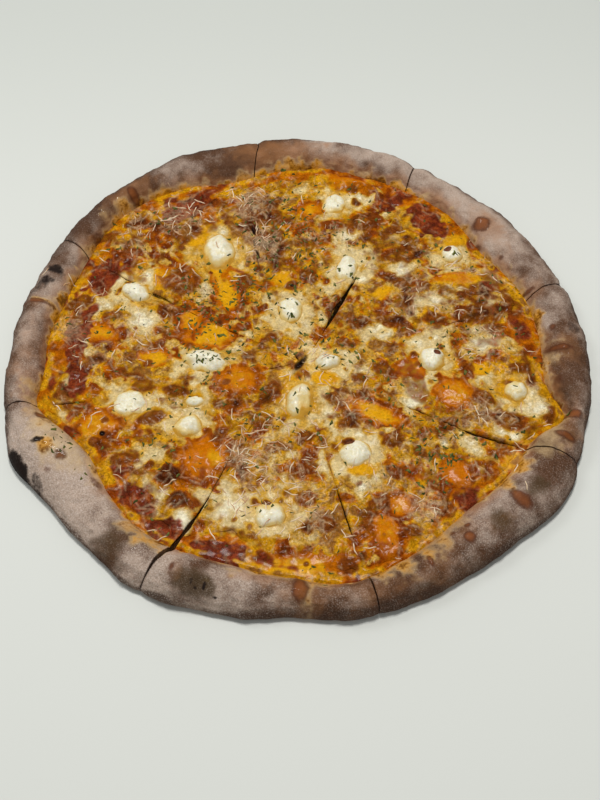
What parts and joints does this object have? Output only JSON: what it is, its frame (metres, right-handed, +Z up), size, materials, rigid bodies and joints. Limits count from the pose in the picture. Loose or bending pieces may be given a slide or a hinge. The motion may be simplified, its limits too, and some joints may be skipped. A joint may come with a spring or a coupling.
{
  "type": "margherita pizza",
  "caption": "Whole round margherita pizza with a raised browned crust, cut in slices that keep its round shape, under tomato sauce, melted cheese and soft white cheese.",
  "frame": {"origin": "middle of the pizza's outline box, on the plane that its underside rests on", "axes": "+Z up out of the toppings, -Y towards the edge that is nearest in the picture, +X to the right in the picture"},
  "size_m": [0.32, 0.3149, 0.0185],
  "materials": {
    "crust": "dry floured baked dough with browned and charred spots",
    "sauce": "wet dark red tomato sauce",
    "melted_cheese": "oily melted cheese, browned in places, with pale shreds and dark herb flakes",
    "white_cheese": "soft white cheese, cream coloured and yellow at its edges"
  },
  "bodies": {
    "root": {"dough_1": "crust", "dough_2": "crust", "dough_3": "crust", "dough_4": "crust", "dough_5": "crust", "dough_6": "crust", "dough_7": "crust", "dough_8": "crust", "sauce_1": "sauce", "sauce_2": "sauce", "sauce_3": "sauce", "sauce_4": "sauce", "sauce_5": "sauce", "sauce_6": "sauce", "sauce_7": "sauce", "sauce_8": "sauce", "cheese_1": "melted_cheese", "cheese_2": "melted_cheese", "cheese_3": "melted_cheese", "cheese_4": "melted_cheese", "cheese_5": "melted_cheese", "cheese_6": "melted_cheese", "cheese_7": "melted_cheese", "cheese_8": "melted_cheese", "dollop_01": "white_cheese", "dollop_02": "white_cheese", "dollop_03": "white_cheese", "dollop_04": "white_cheese", "dollop_05": "white_cheese", "dollop_06": "white_cheese", "dollop_07": "white_cheese", "dollop_08": "white_cheese", "dollop_09": "white_cheese", "dollop_10": "white_cheese", "dollop_11": "white_cheese", "dollop_12": "white_cheese", "dollop_13": "white_cheese", "dollop_14": "white_cheese", "dollop_15": "white_cheese", "dollop_16": "white_cheese"}
  },
  "joints": []
}
